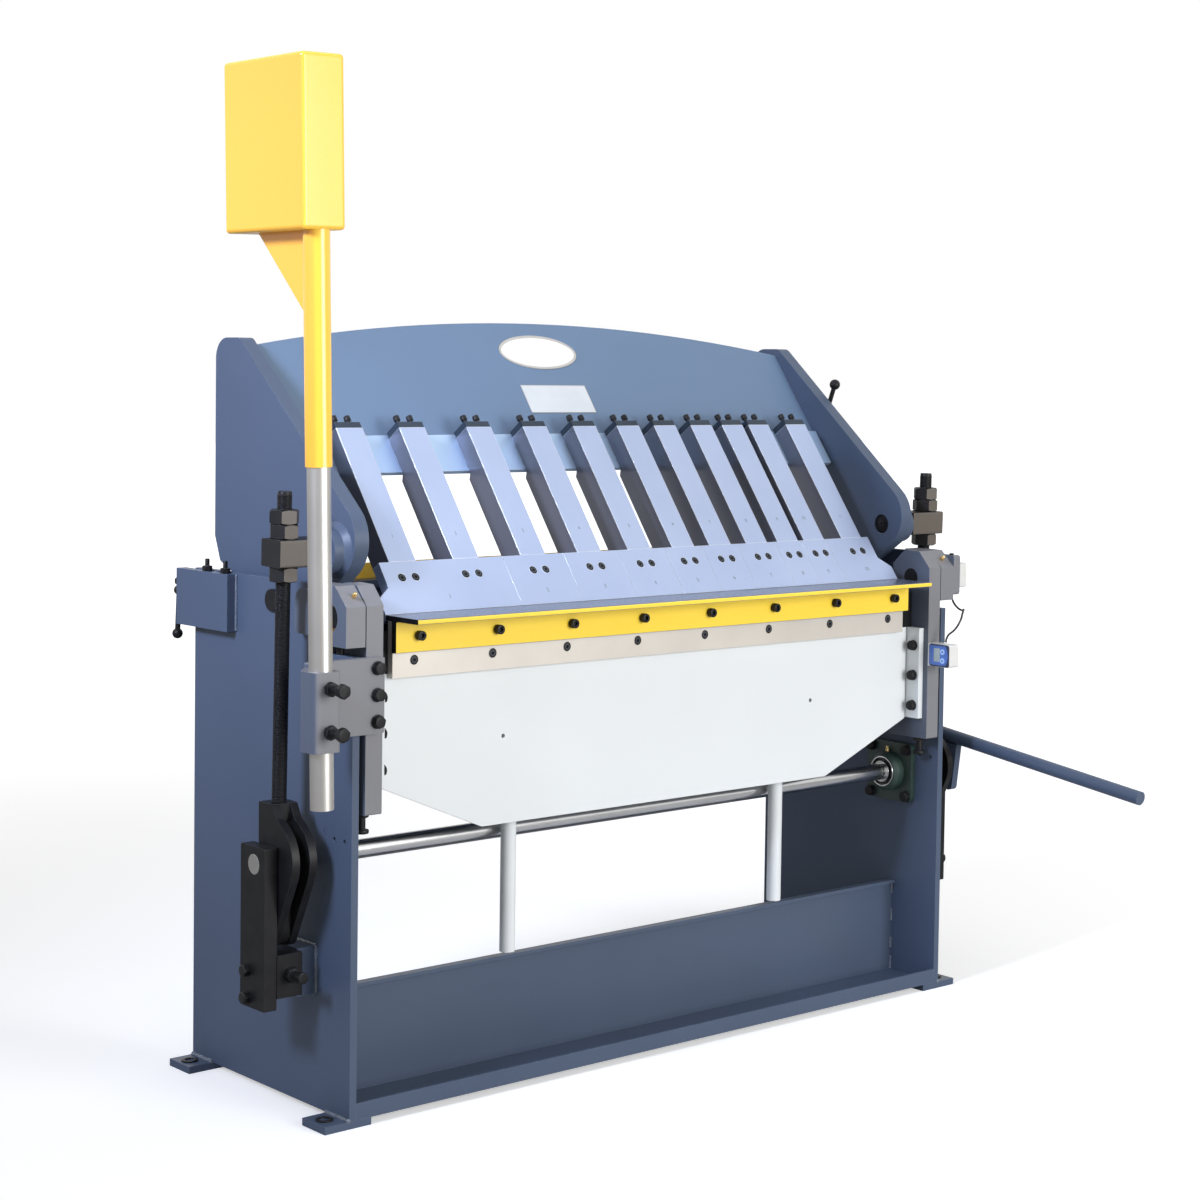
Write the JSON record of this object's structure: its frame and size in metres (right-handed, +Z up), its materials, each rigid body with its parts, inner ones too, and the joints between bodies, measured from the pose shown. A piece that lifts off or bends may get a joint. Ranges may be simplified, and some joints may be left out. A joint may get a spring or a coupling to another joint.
{
  "type": "box and pan brake",
  "caption": "Floor-standing sheet-metal folder: finger clamp beam worked by a side lever, folding leaf with white apron, and a weighted pole that balances the leaf.",
  "frame": {"origin": "centre of the four foot holes, on the floor", "axes": "+X along the bend line to the operator's right, +Y to the back, +Z up"},
  "size_m": [1.8354, 0.9934, 1.8185],
  "materials": {
    "machine_paint": "satin slate-blue enamel",
    "yellow_paint": "gloss yellow enamel",
    "white_paint": "satin off-white enamel",
    "green_paint": "cast, dark green enamel",
    "ground_steel": "ground, lightly brushed",
    "bright_steel": "drawn bright bar",
    "black_steel": "black oxide, satin",
    "brass": "turned",
    "bronze": "turned bronze",
    "blue_plastic": "moulded",
    "white_plastic": "moulded",
    "black_rubber": "cable sheath"
  },
  "bodies": {
    "frame": {"left_side_plate": "machine_paint", "right_side_plate": "machine_paint", "foot_pads": "machine_paint", "shaft_brackets": "machine_paint", "base_channel": "machine_paint", "bed_beam": "machine_paint", "bed_jaw": "ground_steel", "rear_cross_member": "machine_paint", "back_gauge_bar": "yellow_paint", "hinge_blocks": "machine_paint", "hinge_bushes": "bronze", "beam_pivot_pins": "black_steel", "bearing_housings": "green_paint", "bearing_inserts": "bright_steel", "support_blocks": "black_steel", "outboard_bars": "black_steel", "frame_bolts": "black_steel", "grease_nipples": "brass", "lock_block": "machine_paint"},
    "folding_leaf": {"leaf_angle": "yellow_paint", "leaf_edge_bar": "ground_steel", "leaf_backing_bar": "black_steel", "apron": "white_paint", "leaf_arms": "machine_paint", "hinge_pins": "bright_steel", "lift_rods": "white_paint", "leaf_knobs": "black_steel", "leaf_screws": "black_steel", "pole_bracket": "machine_paint", "pole_socket": "machine_paint", "balance_pole": "bright_steel", "counterweight": "yellow_paint", "leaf_bolts": "black_steel", "display_housing": "white_plastic", "angle_sensor": "white_plastic", "display_cable": "black_rubber"},
    "clamp_shaft": {"cross_shaft": "bright_steel", "cranks": "black_steel", "handle_plate": "machine_paint", "handle_bar": "machine_paint"},
    "right_link": {"right_link_fork": "black_steel", "right_link_rod": "black_steel", "right_link_nuts": "black_steel", "right_trunnion_block": "black_steel"},
    "left_link": {"left_link_fork": "black_steel", "left_link_rod": "black_steel", "left_link_nuts": "black_steel", "left_trunnion_block": "black_steel"},
    "clamp_beam": {"right_cheek": "machine_paint", "left_cheek": "machine_paint", "arched_plate": "machine_paint", "clamp_rail": "ground_steel", "finger_bars": "ground_steel", "finger_shoes": "ground_steel", "finger_caps": "black_steel", "finger_screws": "black_steel"},
    "rear_lock_lever": {"lock_lever": "black_steel"},
    "beam_lock_lever": {"beam_lever": "black_steel"},
    "first_button": {"display_button_1": "blue_plastic"},
    "second_button": {"display_button_2": "blue_plastic"}
  },
  "joints": [
    {"name": "leaf_hinge", "type": "hinge", "parent": "frame", "child": "folding_leaf", "pos_m": [0, -0.2105, 0.88], "axis": [-1, 0, 0], "range_deg": [0, 120]},
    {"name": "clamp_lever", "type": "hinge", "parent": "frame", "child": "clamp_shaft", "pos_m": [0, -0.1315, 0.454], "axis": [1, 0, 0], "range_deg": [-50, 0]},
    {"name": "beam_pivot", "type": "hinge", "parent": "frame", "child": "clamp_beam", "pos_m": [0, -0.0075, 0.893], "axis": [1, 0, 0], "range_deg": [-13.9, 0]},
    {"name": "right_crank_pin", "type": "hinge", "parent": "clamp_shaft", "child": "right_link", "pos_m": [0.824, -0.12397, 0.33424], "axis": [1, 0, 0], "range_deg": [0, 39.5]},
    {"name": "left_crank_pin", "type": "hinge", "parent": "clamp_shaft", "child": "left_link", "pos_m": [-0.824, -0.12397, 0.33424], "axis": [1, 0, 0], "range_deg": [0, 39.5]},
    {"name": "rear_lock_pivot", "type": "hinge", "parent": "frame", "child": "rear_lock_lever", "pos_m": [-0.7705, 0.3005, 0.887], "axis": [0, 1, 0], "range_deg": [-60, 60]},
    {"name": "beam_lock_pivot", "type": "hinge", "parent": "clamp_beam", "child": "beam_lock_lever", "pos_m": [0.722, 0.0875, 1.196], "axis": [1, 0, 0], "range_deg": [-45, 45]},
    {"name": "first_button_travel", "type": "slide", "parent": "folding_leaf", "child": "first_button", "axis": [1, 0, 0], "range_m": [0, 0.001], "stiffness_N_per_m": 400},
    {"name": "second_button_travel", "type": "slide", "parent": "folding_leaf", "child": "second_button", "axis": [1, 0, 0], "range_m": [0, 0.001], "stiffness_N_per_m": 400}
  ],
  "couplings": [
    {"joint": "beam_pivot", "follows": "clamp_lever", "ratio": 0.27618},
    {"joint": "right_crank_pin", "follows": "clamp_lever", "ratio": -0.78724},
    {"joint": "left_crank_pin", "follows": "clamp_lever", "ratio": -0.78724}
  ]
}
